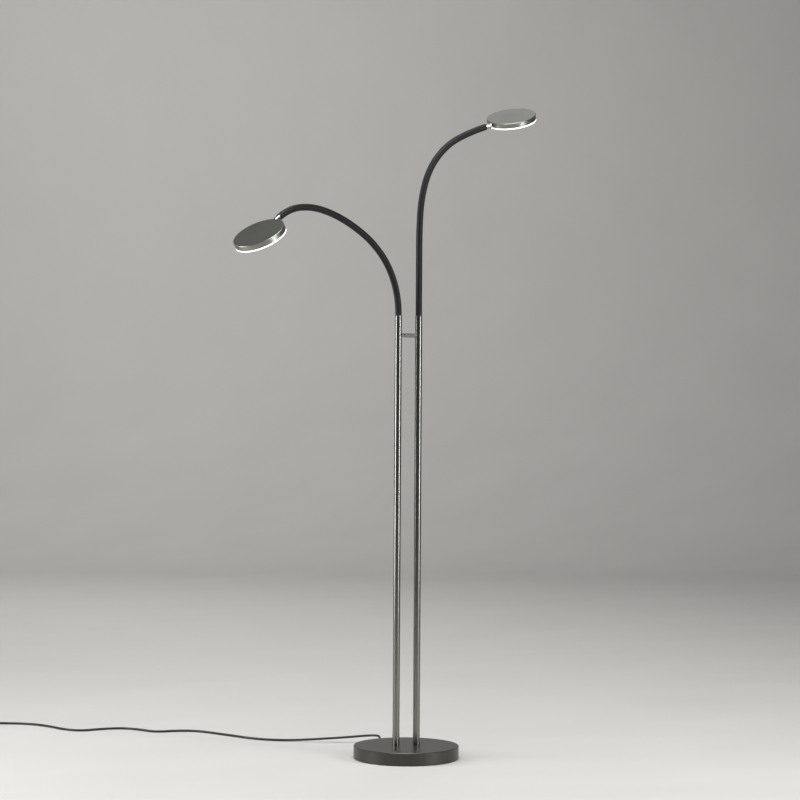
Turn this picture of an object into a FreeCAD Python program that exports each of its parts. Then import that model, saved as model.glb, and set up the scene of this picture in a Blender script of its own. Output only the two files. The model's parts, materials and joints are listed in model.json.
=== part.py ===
"""Floor lamp with two flexible reading arms on a twin pole.

Frame: millimetres, +Z up, origin on the floor under the middle of the base.
The two poles stand along X. The cord leaves the base at the back, towards +Y.
"""
import FreeCAD, Part
import math
import os
import re
import Sketcher
from FreeCAD import Matrix, Placement, Rotation, Vector

SIZES = (
    # base
    ("base_diameter", 240.0, "outer diameter of the base cover"),
    ("base_height", 29.5, "floor to the top of the base cover"),
    ("cover_top", 2.5, "thickness of the cover's top"),
    ("cover_side", 2.0, "thickness of the cover's rim"),
    ("cover_chamfer", 1.0, "bright turned edge round the top"),
    ("foot_height", 1.5, "rubber ring under the bottom plate"),
    ("foot_diameter", 216.0, "outer diameter of the rubber ring"),
    ("foot_width", 12.0, "radial width of the rubber ring"),
    ("foot_middle", 24.0, "diameter of the rubber foot in the middle"),
    ("plate_thickness", 1.5, "steel bottom plate"),
    ("fit_gap", 0.3, "gap between pieces that are laid in"),
    ("thread_gap", 0.05, "gap between a thread and its hole"),
    ("plate_screw_margin", 10.1, "from the rubber ring to a plate screw's head"),
    ("plate_screw_thread", 4.0, "plate screw thread diameter"),
    ("plate_screw_head", 7.0, "plate screw head diameter"),
    ("plate_screw_head_height", 1.2, "plate screw head height"),
    ("plate_screw_length", 11.0, "plate screw thread length"),
    # power supply in the base
    ("driver_long", 90.0, "driver case along X"),
    ("driver_deep", 36.0, "driver case along Y"),
    ("driver_high", 15.0, "driver tray along Z"),
    ("driver_wall", 1.5, "driver tray and lid thickness"),
    ("driver_front", -25.0, "the driver's face towards the poles, along Y"),
    ("driver_margin", 4.0, "room round the driver in the weight"),
    ("board_thickness", 1.6, "circuit boards"),
    ("board_stand", 3.0, "driver board above the tray's floor"),
    ("terminal_long", 20.0, "terminal block along X"),
    ("terminal_deep", 16.0, "terminal block along Y"),
    ("terminal_high", 14.0, "terminal block along Z"),
    ("terminal_back", 80.0, "the terminal block's rear face, along Y"),
    ("clamp_long", 24.0, "cord clamp along X"),
    ("clamp_deep", 8.0, "cord clamp along Y"),
    ("clamp_start", 90.0, "the cord clamp's front face, along Y"),
    ("channel_width", 12.0, "wiring channel in the weight"),
    ("wiring_diameter", 4.4, "lead from the terminals to the driver"),
    ("wiring_height", 9.0, "height of that lead"),
    # cord
    ("cord_diameter", 5.4, "round mains cord"),
    ("cord_exit_height", 13.0, "height of the cord's exit"),
    ("gland_diameter", 10.0, "gland through the cover's rim"),
    ("gland_lip", 1.5, "gland flange beyond its body"),
    ("boot_length", 25.0, "tapered strain relief"),
    ("boot_tip", 7.2, "diameter of the strain relief's end"),
    ("coil_radius", 40.0, "outer half turn of the stored coil"),
    ("coil_pitch", 5.9, "one turn to the next, sideways"),
    ("coil_layer", 5.9, "one layer to the next, upwards"),
    ("coil_lift", 1.2, "coil above the floor, on its tie"),
    ("coil_tail", 48.0, "straight end from the coil to the plug"),
    ("tie_width", 8.0, "band round the coil"),
    ("tie_thickness", 0.8, "thickness of the band"),
    ("plug_length", 34.0, "plug grip along the cord"),
    ("plug_width", 34.0, "plug grip across the pins"),
    ("plug_relief", 18.0, "tapered end of the plug"),
    ("pin_diameter", 4.8, "plug pins"),
    ("pin_length", 19.0, "plug pins"),
    ("pin_spacing", 19.0, "plug pins, centre to centre"),
    # poles
    ("pole_spacing", 50.0, "pole to pole, centre to centre"),
    ("tube_diameter", 16.0, "pole tubes"),
    ("tube_bore", 14.0, "inside of the pole tubes"),
    ("tube_top", 1008.0, "floor to the top of the tubes"),
    ("crossbar_diameter", 9.5, "bar between the tubes"),
    ("crossbar_drop", 44.0, "the bar's axis below the tubes' top"),
    ("dowel_diameter", 4.0, "dowels in the bar's ends"),
    ("dowel_reach", 1.0, "dowel end inside the tube"),
    ("dowel_length", 11.0, "dowels"),
    ("stud_thread", 10.0, "hollow stud below each tube"),
    ("stud_bore", 6.0, "wire way through the stud"),
    ("stud_plug", 20.0, "stud's length inside the tube"),
    ("stud_end", 12.5, "floor to the stud's lower end"),
    ("nut_seat", 20.0, "floor to the washer's seat in the weight"),
    ("washer_diameter", 22.0, "washer"),
    ("washer_thickness", 1.5, "washer"),
    ("nut_corner", 9.2, "nut, middle to corner"),
    ("nut_height", 5.0, "nut"),
    ("counterbore", 26.0, "room round washer and nut"),
    # arms
    ("sleeve_diameter", 15.0, "flexible arm's black sleeve"),
    ("sleeve_bore", 7.0, "wire way through the arm"),
    ("seat_gap", 0.3, "gap round a ball in its seat"),
    ("collar_height", 2.5, "dark collar on the tube's end"),
    ("socket_plug", 14.0, "socket's length inside the tube"),
    ("running_gap", 0.05, "gap between a turning pin and its hole"),
    ("section_length", 74.5, "arm section along its middle line"),
    ("lead_diameter", 3.4, "lamp lead through tube and arm"),
    ("lead_height", 6.5, "height of the lead in the base"),
    ("lead_turn", 6.0, "radius where the lead turns up into the stud"),
    ("left_azimuth", 209.3, "direction of the left arm, degrees from +X"),
    ("right_azimuth", 7.0, "direction of the right arm, degrees from +X"),
    ("left_roll", -1.3, "left head about its stem, degrees"),
    ("right_roll", 17.0, "right head about its stem, degrees"),
    # heads
    ("head_diameter", 115.0, "lamp head"),
    ("housing_height", 11.5, "metal part of the head"),
    ("head_wall", 2.5, "housing rim"),
    ("head_top", 2.0, "housing top"),
    ("head_chamfer", 0.8, "turned edge round the head's top"),
    ("stem_drop", 6.5, "head's top to the stem's axis"),
    ("stem_diameter", 13.0, "bright stem"),
    ("stem_length", 16.0, "bright stem"),
    ("stem_gap", 1.0, "groove between stem and head"),
    ("swivel_pin", 6.0, "pin on which the head turns"),
    ("stem_bore", 4.0, "wire way through the stem"),
    ("spigot_length", 6.0, "stem's end inside the sleeve"),
    ("spigot_diameter", 6.0, "stem's end inside the sleeve"),
    ("boss_inset", 1.5, "boss from the head's edge"),
    ("boss_end", 9.5, "boss's inner face from the head's edge"),
    ("boss_width", 14.0, "boss across"),
    ("stem_nut_diameter", 8.4, "round nut on the swivel pin"),
    ("stem_nut_thickness", 2.5, "round nut on the swivel pin"),
    ("diffuser_height", 3.0, "opal rim below the metal"),
    ("diffuser_step", 2.0, "opal step inside the housing"),
    ("diffuser_wall", 2.5, "width of that step"),
    ("led_board_diameter", 84.0, "light-emitting board"),
    ("chip_side", 3.5, "light source chip"),
    ("chip_height", 0.7, "light source chip"),
    ("chip_circle", 64.0, "circle of the chips"),
    ("head_screw_circle", 40.0, "circle of the board screws"),
    ("head_screw_thread", 2.4, "board screw thread"),
    ("head_screw_head", 4.4, "board screw head"),
    ("head_screw_head_height", 1.2, "board screw head"),
    ("head_screw_bite", 1.4, "board screw in the housing"),
    ("button_diameter", 12.0, "push button"),
    ("button_stand", 1.0, "button below the diffuser"),
    ("button_gap", 0.2, "gap round the button"),
    ("button_lip", 1.5, "button's inner flange"),
    ("button_lip_height", 1.0, "button's inner flange"),
    ("plunger_diameter", 3.0, "button's plunger"),
    ("switch_diameter", 8.0, "switch on the board"),
    ("switch_height", 3.8, "switch on the board"),
    ("plunger_entry", 0.5, "plunger inside the switch at rest"),
    ("switch_bore_depth", 2.0, "bore in the switch"),
)
# How far each arm section bends, in degrees, from the pole to the head.
BENDS = {
    "left": (26.0, 22.5, 15.0, 8.0, 9.5, 16.0, 27.0),
    "right": (0.0, 0.0, 3.0, 12.5, 23.5, 24.0, 8.5),
}
SIDES = {"left": -1, "right": 1}
CHIPS = 12
HEAD_SCREWS = 3
COIL_HALVES = 12

# The cord's way over the floor from the strain relief to the coil.
CORD_ROUTE = (
    (0, 168, 13.5),
    (9, 187, 17),
    (15, 208, 20.5),
    (9, 228, 19.5),
    (-12, 246, 16.5),
    (-46, 258, 13.5),
    (-84, 274, 10.5),
    (-124, 297, 6.5),
    (-172, 322, 3.4),
    (-218, 352, 3),
    (-250, 392, 3),
    (-273, 438, 3),
    (-299, 486, 3),
    (-331, 543, 3),
    (-380, 564, 3),
    (-433, 561, 3),
    (-456, 608, 3),
    (-489, 649, 3),
    (-541, 654, 3),
    (-599, 639, 3),
    (-633, 678, 3),
    (-651, 732, 3),
    (-681, 788, 3),
    (-729, 821, 3),
    (-786, 836, 3.9),
)
COIL_START = (-840, 859)

TO_X = Rotation(Vector(0, 0, 1), Vector(1, 0, 0))
TO_Y = Rotation(Vector(0, 0, 1), Vector(0, 1, 0))

doc = FreeCAD.newDocument("floor_lamp")
sheet = doc.addObject("Spreadsheet::Sheet", "Sizes")
for row, (alias, number, meaning) in enumerate(SIZES, 1):
    sheet.set(f"A{row}", alias)
    sheet.set(f"B{row}", str(number))
    sheet.set(f"C{row}", meaning)
    sheet.setAlias(f"B{row}", alias)
doc.recompute()
ALIASES = {alias for alias, number, meaning in SIZES}
parts = {}


def size(alias):
    """The number in the sheet's cell of that name."""
    return float(sheet.get(alias))


def bound(text):
    """The text with each size's name written as the sheet's cell."""
    return re.sub(r"[a-z_]+", lambda m: "Sizes." + m[0] if m[0] in ALIASES else m[0], text)


def body(name, place=None):
    """A new named piece, at a place of its own if one is given."""
    piece = doc.addObject("PartDesign::Body", name)
    piece.Label = name
    if place:
        piece.Placement = place
    parts[name] = piece
    return piece


def form(piece, kind, at=("0", "0", "0"), turn=None, **sizes):
    """A primitive feature of a piece, its place and sizes bound to the sheet."""
    feature = piece.newObject("PartDesign::" + kind, piece.Name + "_form")
    if turn:
        feature.Placement = Placement(Vector(), turn)
    for axis, text in zip("xyz", at):
        feature.setExpression("Placement.Base." + axis, bound(text))
    for key, text in sizes.items():
        feature.setExpression(key, bound(text))
    return feature


def sketch(piece, role, name):
    """An empty sketch on one of the piece's own origin planes."""
    plane = next(f for f in piece.Origin.OriginFeatures if f.Role == role)
    drawn = piece.newObject("Sketcher::SketchObject", name)
    drawn.AttachmentSupport = [(plane, "")]
    drawn.MapMode = "FlatFace"
    return drawn


def circle(drawn, radius, x="0", construction=False):
    """A circle on the sketch's horizontal axis, its radius and place bound to the sheet."""
    index = drawn.addGeometry(Part.Circle(Vector(-1, 0, 0), Vector(0, 0, 1), 1), construction)
    count = drawn.addConstraint(Sketcher.Constraint("Radius", index, 1.0))
    drawn.setExpression(f"Constraints[{count}]", bound(radius))
    if x == "0":
        drawn.addConstraint(Sketcher.Constraint("Coincident", index, 3, -1, 1))
        return
    drawn.addConstraint(Sketcher.Constraint("PointOnObject", index, 3, -1))
    count = drawn.addConstraint(Sketcher.Constraint("DistanceX", index, 3, -1, 1, 1.0))
    drawn.setExpression(f"Constraints[{count}]", bound(x))


def pad(piece, drawn, length):
    """A pad of a sketch, upwards."""
    feature = piece.newObject("PartDesign::Pad", piece.Name + "_pad")
    feature.Profile = drawn
    feature.setExpression("Length", bound(length))
    return feature


def chamfer(piece, amount, radius, height):
    """A chamfer on the round edge of that radius and height."""
    doc.recompute()
    base = piece.Tip
    names = []
    for index, edge in enumerate(base.Shape.Edges, 1):
        curve = edge.Curve
        if not isinstance(curve, Part.Circle):
            continue
        if abs(curve.Radius - radius) < 0.01 and abs(curve.Center.z - height) < 0.01:
            names.append(f"Edge{index}")
    feature = piece.newObject("PartDesign::Chamfer", piece.Name + "_chamfer")
    feature.Base = (base, names)
    feature.setExpression("Size", bound(amount))


def wrapped(name, shape, place=None):
    """A piece whose shape is made with Part's own functions."""
    piece = doc.addObject("Part::Feature", name)
    piece.Label = name
    piece.Shape = shape
    if place:
        piece.Placement = place
    parts[name] = piece


def tube_along(edges, diameter):
    """A round solid along a smooth chain of lines and arcs."""
    path = Part.Wire(edges)
    first = edges[0]
    start = first.valueAt(first.FirstParameter)
    ahead = first.tangentAt(first.FirstParameter)
    ring = Part.Wire(Part.makeCircle(diameter / 2, start, ahead))
    solid = path.makePipeShell([ring], True, False)
    expected = math.pi * diameter ** 2 / 4 * path.Length
    if abs(solid.Volume / expected - 1) > 0.005:
        raise ValueError(f"tube volume {solid.Volume:.0f}, expected {expected:.0f}")
    return solid, path.Length


# ---------------------------------------------------------------- base


def base_cover():
    cover = body("base_cover")
    form(cover, "AdditiveCylinder", ("0", "0", "foot_height"),
         Radius="base_diameter / 2", Height="base_height - foot_height")
    chamfer(cover, "cover_chamfer", size("base_diameter") / 2, size("base_height"))
    form(cover, "SubtractiveCylinder", ("0", "0", "foot_height"),
         Radius="base_diameter / 2 - cover_side", Height="base_height - foot_height - cover_top")
    for sign in ("-", ""):
        form(cover, "SubtractiveCylinder", (sign + "pole_spacing / 2", "0", "base_height - 2 * cover_top"),
             Radius="stud_thread / 2 + fit_gap", Height="3 * cover_top")
    form(cover, "SubtractiveCylinder", ("0", "base_diameter / 2 - 2 * cover_side", "cord_exit_height"), TO_Y,
         Radius="gland_diameter / 2 + thread_gap", Height="3 * cover_side")


def plate_screw_places():
    out = "(foot_diameter / 2 - foot_width - plate_screw_margin - plate_screw_head / 2)"
    return [(x + out + " * cos(29 deg)", y + out + " * sin(29 deg)") for x in ("-", "") for y in ("-", "")]


def base_weight():
    weight = body("base_weight")
    floor = "foot_height + plate_thickness"
    high = "base_height - cover_top - foot_height - plate_thickness"
    form(weight, "AdditiveCylinder", ("0", "0", floor),
         Radius="base_diameter / 2 - cover_side - fit_gap", Height=high)
    form(weight, "SubtractiveBox",
         ("-driver_long / 2 - driver_margin", "driver_front - driver_deep - driver_margin", floor),
         Length="driver_long + 2 * driver_margin",
         Width="driver_deep + driver_margin - driver_front - counterbore * 0.4",
         Height="driver_high + driver_wall + fit_gap")
    form(weight, "SubtractiveBox", ("-channel_width / 2", "-counterbore * 0.4 - 1", floor),
         Length="channel_width", Width="terminal_back + counterbore * 0.4", Height="terminal_high")
    form(weight, "SubtractiveBox",
         ("-clamp_long / 2 - fit_gap", "terminal_back - terminal_deep - driver_margin", floor),
         Length="clamp_long + 2 * fit_gap", Width="base_diameter / 2",
         Height="cord_exit_height + gland_diameter - foot_height - plate_thickness")
    for sign in ("-", ""):
        form(weight, "SubtractiveCylinder", (sign + "pole_spacing / 2", "0", floor),
             Radius="counterbore / 2", Height="nut_seat - foot_height - plate_thickness")
        form(weight, "SubtractiveCylinder", (sign + "pole_spacing / 2", "0", floor),
             Radius="stud_thread / 2 + fit_gap", Height="base_height")
    for x, y in plate_screw_places():
        form(weight, "SubtractiveCylinder", (x, y, floor),
             Radius="plate_screw_thread / 2 + thread_gap", Height="plate_screw_length")


def bottom_plate():
    plate = body("bottom_plate")
    form(plate, "AdditiveCylinder", ("0", "0", "foot_height"),
         Radius="base_diameter / 2 - cover_side - fit_gap", Height="plate_thickness")
    for x, y in plate_screw_places():
        form(plate, "SubtractiveCylinder", (x, y, "0"),
             Radius="plate_screw_thread / 2 + thread_gap", Height="2 * foot_height + plate_thickness")
    screws = body("plate_screws")
    for x, y in plate_screw_places():
        form(screws, "AdditiveCylinder", (x, y, "foot_height - plate_screw_head_height"),
             Radius="plate_screw_head / 2", Height="plate_screw_head_height")
        form(screws, "AdditiveCylinder", (x, y, "foot_height - plate_screw_head_height"),
             Radius="plate_screw_thread / 2", Height="plate_screw_length")


def foot_ring():
    ring = body("foot_ring")
    drawn = sketch(ring, "XY_Plane", "foot_outline")
    circle(drawn, "foot_diameter / 2")
    circle(drawn, "foot_diameter / 2 - foot_width")
    pad(ring, drawn, "foot_height")
    form(ring, "AdditiveCylinder", Radius="foot_middle / 2", Height="foot_height")


def driver():
    floor = "foot_height + plate_thickness"
    back = "driver_front - driver_deep"
    tray = body("driver_case")
    form(tray, "AdditiveBox", ("-driver_long / 2", back, floor),
         Length="driver_long", Width="driver_deep", Height="driver_high")
    form(tray, "SubtractiveBox", ("-driver_long / 2 + driver_wall", back + " + driver_wall", floor + " + driver_wall"),
         Length="driver_long - 2 * driver_wall", Width="driver_deep - 2 * driver_wall", Height="driver_high")
    for sign in ("-", ""):
        form(tray, "AdditiveCylinder", (sign + "driver_long * 0.35", back + " + driver_deep / 2", floor),
             Radius="board_stand", Height="driver_wall + board_stand")
    lid = body("driver_lid")
    form(lid, "AdditiveBox", ("-driver_long / 2", back, floor + " + driver_high"),
         Length="driver_long", Width="driver_deep", Height="driver_wall")
    form(lid, "AdditiveBox",
         ("-driver_long / 2 + driver_wall + fit_gap", back + " + driver_wall + fit_gap",
          floor + " + driver_high - driver_wall"),
         Length="driver_long - 2 * driver_wall - 2 * fit_gap",
         Width="driver_deep - 2 * driver_wall - 2 * fit_gap", Height="driver_wall")
    board = body("driver_board")
    low = floor + " + driver_wall + board_stand"
    form(board, "AdditiveBox", ("-driver_long / 2 + driver_wall + fit_gap", back + " + driver_wall + fit_gap", low),
         Length="driver_long - 2 * driver_wall - 2 * fit_gap",
         Width="driver_deep - 2 * driver_wall - 2 * fit_gap", Height="board_thickness")
    top = low + " + board_thickness"
    form(board, "AdditiveCylinder", ("-driver_long / 3", back + " + driver_deep / 2", top),
         Radius="driver_deep / 6", Height="driver_high / 3")
    form(board, "AdditiveBox", ("-driver_deep / 4", back + " + driver_deep / 4", top),
         Length="driver_deep / 2", Width="driver_deep / 2", Height="driver_high / 3")
    form(board, "AdditiveBox", ("driver_long / 4", back + " + driver_deep / 3", top),
         Length="driver_long / 8", Width="driver_deep / 3", Height="driver_high / 4")


def terminals():
    floor = "foot_height + plate_thickness"
    block = body("terminal_block")
    form(block, "AdditiveBox", ("-terminal_long / 2", "terminal_back - terminal_deep", floor),
         Length="terminal_long", Width="terminal_deep", Height="terminal_high")
    for sign in ("-", ""):
        form(block, "SubtractiveCylinder",
             (sign + "terminal_long / 4", "terminal_back - terminal_deep / 2", floor + " + terminal_high / 2"),
             Radius="terminal_long / 8", Height="terminal_high")
    clamp = body("cord_clamp")
    form(clamp, "AdditiveBox", ("-clamp_long / 2", "clamp_start", floor),
         Length="clamp_long", Width="clamp_deep",
         Height="cord_exit_height + cord_diameter - foot_height - plate_thickness")
    form(clamp, "SubtractiveCylinder", ("0", "clamp_start - 1", "cord_exit_height"), TO_Y,
         Radius="cord_diameter / 2 + thread_gap", Height="clamp_deep + 2")
    wires = body("inner_leads")
    form(wires, "AdditiveCylinder", ("0", "terminal_back", "cord_exit_height"), TO_Y,
         Radius="cord_diameter / 2", Height=GLAND_FACE + " + gland_lip + boot_length - terminal_back")
    form(wires, "AdditiveCylinder", ("0", "driver_front", "wiring_height"), TO_Y,
         Radius="wiring_diameter / 2", Height="terminal_back - terminal_deep - driver_front")


GLAND_FACE = "base_diameter / 2 + fit_gap"


def cord_gland():
    gland = body("cord_gland")
    inside = "base_diameter / 2 - cover_side - 2 * fit_gap - gland_lip"
    axis = "cord_exit_height"
    form(gland, "AdditiveCylinder", ("0", inside, axis), TO_Y,
         Radius="gland_diameter / 2 + gland_lip", Height="gland_lip")
    form(gland, "AdditiveCylinder", ("0", inside, axis), TO_Y,
         Radius="gland_diameter / 2", Height="cover_side + 3 * fit_gap + 2 * gland_lip")
    form(gland, "AdditiveCylinder", ("0", GLAND_FACE, axis), TO_Y,
         Radius="gland_diameter / 2 + gland_lip", Height="gland_lip")
    form(gland, "AdditiveCone", ("0", GLAND_FACE + " + gland_lip", axis), TO_Y,
         Radius1="gland_diameter / 2", Radius2="boot_tip / 2", Height="boot_length")
    form(gland, "SubtractiveCylinder", ("0", inside + " - 1", axis), TO_Y,
         Radius="cord_diameter / 2 + thread_gap", Height="3 * cover_side + 3 * gland_lip + 2 * boot_length")


# ---------------------------------------------------------------- cord


def rounded_edges(points):
    """Straight runs joined by tangent arcs, each as large as its two runs allow."""
    edges = []
    last = points[0]
    least = None
    for before, corner, after in zip(points, points[1:], points[2:]):
        back = before - corner
        ahead = after - corner
        turn = math.pi - back.getAngle(ahead)
        reach = 0.45 * min(back.Length, ahead.Length)
        radius = reach / math.tan(turn / 2)
        least = radius if least is None else min(least, radius)
        back.normalize()
        ahead.normalize()
        start = corner + back * reach
        end = corner + ahead * reach
        inward = (back + ahead).normalize()
        middle = corner + inward * (radius / math.cos(turn / 2) - radius)
        edges.append(Part.LineSegment(last, start).toShape())
        edges.append(Part.Arc(start, middle, end).toShape())
        last = end
    edges.append(Part.LineSegment(last, points[-1]).toShape())
    return edges, least


def quarter(start, heading, end):
    """The arc that leaves a point along a heading and ends at another point."""
    chord = end - start
    along = Vector(chord).normalize()
    bulge = (heading - along * heading.dot(along)).normalize()
    angle = heading.getAngle(along)
    middle = start + chord / 2 + bulge * (chord.Length / 2 * math.tan(angle / 2))
    return Part.Arc(start, middle, end).toShape()


def half_turn(start, heading, end):
    """Two arcs that turn a heading right round, from one point to another."""
    reach = (end - start).Length / 2
    joint = (start + end) / 2 + heading * reach
    leaving = (end - start).normalize()
    return [quarter(start, heading, joint), quarter(joint, leaving, end)]


def coil_frame():
    """Start of the coil, the heading of the cord there and the way to its middle."""
    lift = size("coil_lift") + size("cord_diameter") / 2
    start = Vector(*COIL_START, lift)
    previous = Vector(*CORD_ROUTE[-1])
    heading = Vector(start.x - previous.x, start.y - previous.y, 0).normalize()
    inward = Vector(-heading.y, heading.x, 0)
    return start, heading, inward


def least_own_gap(edges, diameter):
    """Least free gap between stretches of one tube that aren't neighbours along it."""
    wire = Part.Wire(edges)
    step = diameter / 2
    points = wire.discretize(Number=int(wire.Length / step))
    spacing = wire.Length / (len(points) - 1)
    skip = int(3 * diameter / spacing)
    least = 1e9
    for index, point in enumerate(points):
        for other in points[index + skip:]:
            least = min(least, point.distanceToPoint(other))
    return least - diameter


def cord_and_coil():
    thick = size("cord_diameter")
    exit_y = (size("base_diameter") / 2 + size("fit_gap") + size("gland_lip") + size("boot_length"))
    start, heading, inward = coil_frame()
    route = [Vector(0, exit_y, size("cord_exit_height"))]
    route += [Vector(*point) for point in CORD_ROUTE]
    route.append(start)
    edges, least = rounded_edges(route)
    solid, length = tube_along(edges, thick)
    wrapped("mains_cord", solid)
    print(f"mains cord {length:.0f} mm, least radius {least:.1f} mm")

    turns = [Part.LineSegment(start, start + heading * thick).toShape()]
    point = start + heading * thick
    deepest = COIL_HALVES // 2
    for half in range(COIL_HALVES):
        inset = half if half <= deepest else 2 * deepest - half
        radius = size("coil_radius") - inset * size("coil_pitch") / 2
        side = inward if half % 2 == 0 else inward * -1
        away = heading if half % 2 == 0 else heading * -1
        rise = size("coil_layer") if half == deepest else 0
        target = point + side * (2 * radius) + Vector(0, 0, rise)
        turns += half_turn(point, away, target)
        point = target
    turns.append(Part.LineSegment(point, point + heading * size("coil_tail")).toShape())
    solid, length = tube_along(turns, thick)
    wrapped("mains_coil", solid)
    print(f"coil {length:.0f} mm, least gap to itself {least_own_gap(turns, thick):.2f} mm")
    return point + heading * size("coil_tail"), heading


def coil_tie():
    """A flat band round the bundle, on the side where the cord comes in."""
    start, heading, inward = coil_frame()
    middle = start + heading * size("cord_diameter") + inward * size("coil_radius")
    middle.z = 0
    turned = Matrix()
    turned.A11, turned.A21 = heading.y, -heading.x
    turned.A12, turned.A22 = heading.x, heading.y
    place = Placement(turned)
    place.Base = middle
    tie = body("coil_tie", place)
    drop = f"coil_pitch / 2 * {COIL_HALVES // 2}"
    room = "(cord_diameter / 2 + 2 * fit_gap)"
    form(tie, "AdditiveBox", (f"coil_radius - {drop} - {room} - tie_thickness", "-tie_width / 2", "0"),
         Length=f"{drop} + 2 * {room} + 2 * tie_thickness", Width="tie_width",
         Height="2 * coil_lift + cord_diameter + coil_layer")
    form(tie, "SubtractiveBox", (f"coil_radius - {drop} - {room}", "-tie_width", "tie_thickness"),
         Length=f"{drop} + 2 * {room}", Width="2 * tie_width",
         Height="2 * coil_lift + cord_diameter + coil_layer - 2 * tie_thickness")


def plug(place_point, heading):
    turned = Matrix()
    turned.A11, turned.A21 = heading.x, heading.y
    turned.A12, turned.A22 = -heading.y, heading.x
    place = Placement(turned)
    place.Base = place_point
    half = "(coil_lift + cord_diameter / 2 + coil_layer)"
    grip = body("plug_body", place)
    form(grip, "AdditiveCone", turn=TO_X,
         Radius1="boot_tip / 2", Radius2="gland_diameter / 2", Height="plug_relief")
    form(grip, "AdditiveBox", ("plug_relief - gland_lip", "-plug_width / 2", "-" + half),
         Length="plug_length", Width="plug_width", Height="2 * " + half)
    doc.recompute()
    base = grip.Tip
    edges = []
    for index, edge in enumerate(base.Shape.Edges, 1):
        ends = [vertex.Point for vertex in edge.Vertexes]
        if len(ends) == 2 and edge.Curve.TypeId == "Part::GeomLine" and edge.Length > size("boot_tip"):
            line = ends[1] - ends[0]
            if abs(abs(line.x) - line.Length) < 0.01 or abs(abs(line.z) - line.Length) < 0.01:
                edges.append(f"Edge{index}")
    fillet = grip.newObject("PartDesign::Fillet", "plug_fillet")
    fillet.Base = (base, edges)
    fillet.setExpression("Radius", bound("gland_lip * 2"))
    pins = body("plug_pins", place)
    for sign in ("-", ""):
        form(pins, "AdditiveCylinder",
             ("plug_relief - gland_lip + plug_length", sign + "pin_spacing / 2", "0"), TO_X,
             Radius="pin_diameter / 2", Height="pin_length")


# ---------------------------------------------------------------- poles


def poles():
    for side, sign in SIDES.items():
        mark = "-" if sign < 0 else ""
        axis = mark + "pole_spacing / 2"
        tube = body(side + "_tube")
        form(tube, "AdditiveCylinder", (axis, "0", "base_height"),
             Radius="tube_diameter / 2", Height="tube_top - base_height")
        form(tube, "SubtractiveCylinder", (axis, "0", "base_height - 1"),
             Radius="tube_bore / 2", Height="tube_top - base_height + 2")
        inner = mark + "(pole_spacing / 2 - tube_bore / 2 + dowel_reach)"
        start = inner if sign < 0 else "pole_spacing / 2 - tube_bore / 2 + dowel_reach - dowel_length"
        form(tube, "SubtractiveCylinder", (start, "0", "tube_top - crossbar_drop"), TO_X,
             Radius="dowel_diameter / 2 + thread_gap", Height="dowel_length")
    bar = body("crossbar")
    form(bar, "AdditiveCylinder", ("-pole_spacing / 2", "0", "tube_top - crossbar_drop"), TO_X,
         Radius="crossbar_diameter / 2", Height="pole_spacing")
    for sign in ("-", ""):
        form(bar, "SubtractiveCylinder",
             (sign + "pole_spacing / 2", "0", "tube_top - crossbar_drop - crossbar_diameter"),
             Radius="tube_diameter / 2 + thread_gap", Height="2 * crossbar_diameter")
    dowels = body("crossbar_dowels")
    reach = "(pole_spacing / 2 - tube_bore / 2 + dowel_reach)"
    for start in ("-" + reach, reach + " - dowel_length"):
        form(bar, "SubtractiveCylinder", (start, "0", "tube_top - crossbar_drop"), TO_X,
             Radius="dowel_diameter / 2 + thread_gap", Height="dowel_length")
        form(dowels, "AdditiveCylinder", (start, "0", "tube_top - crossbar_drop"), TO_X,
             Radius="dowel_diameter / 2", Height="dowel_length")


def pole_feet():
    studs = body("tube_studs")
    washers = body("tube_washers")
    nuts = body("tube_nuts")
    for sign in ("-", ""):
        axis = sign + "pole_spacing / 2"
        form(studs, "AdditiveCylinder", (axis, "0", "base_height"),
             Radius="tube_bore / 2 - running_gap", Height="stud_plug")
        form(studs, "AdditiveCylinder", (axis, "0", "stud_end"),
             Radius="stud_thread / 2", Height="base_height + stud_plug - stud_end")
        form(studs, "SubtractiveCylinder", (axis, "0", "stud_end - 1"),
             Radius="stud_bore / 2", Height="base_height + stud_plug - stud_end + 2")
        form(washers, "AdditiveCylinder", (axis, "0", "nut_seat - washer_thickness"),
             Radius="washer_diameter / 2", Height="washer_thickness")
        form(washers, "SubtractiveCylinder", (axis, "0", "nut_seat - 2 * washer_thickness"),
             Radius="stud_thread / 2 + fit_gap", Height="3 * washer_thickness")
        form(nuts, "AdditivePrism", (axis, "0", "nut_seat - washer_thickness - nut_height"),
             Circumradius="nut_corner", Height="nut_height")
        form(nuts, "SubtractiveCylinder", (axis, "0", "nut_seat - washer_thickness - nut_height - 1"),
             Radius="stud_thread / 2 + thread_gap", Height="nut_height + 2")


# ---------------------------------------------------------------- arms


def seat_radius():
    return size("sleeve_diameter") / 2 + size("seat_gap")


def ball_rise():
    """From a seat's rim up to the middle of the ball in it."""
    return math.sqrt(seat_radius() ** 2 - (size("sleeve_diameter") / 2) ** 2)


RISE = "sqrt((sleeve_diameter / 2 + seat_gap) ^ 2 - (sleeve_diameter / 2) ^ 2)"


def frame_at(point, outward, angle):
    """A placement with Z along the arm there and X on the side that it bends to."""
    flat = math.radians(outward)
    lean = math.radians(angle)
    turned = Matrix()
    turned.A11, turned.A21, turned.A31 = math.cos(flat) * math.cos(lean), math.sin(flat) * math.cos(lean), -math.sin(lean)
    turned.A12, turned.A22, turned.A32 = -math.sin(flat), math.cos(flat), 0
    turned.A13, turned.A23, turned.A33 = math.cos(flat) * math.sin(lean), math.sin(flat) * math.sin(lean), math.cos(lean)
    place = Placement(turned)
    place.Base = point
    return place


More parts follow.
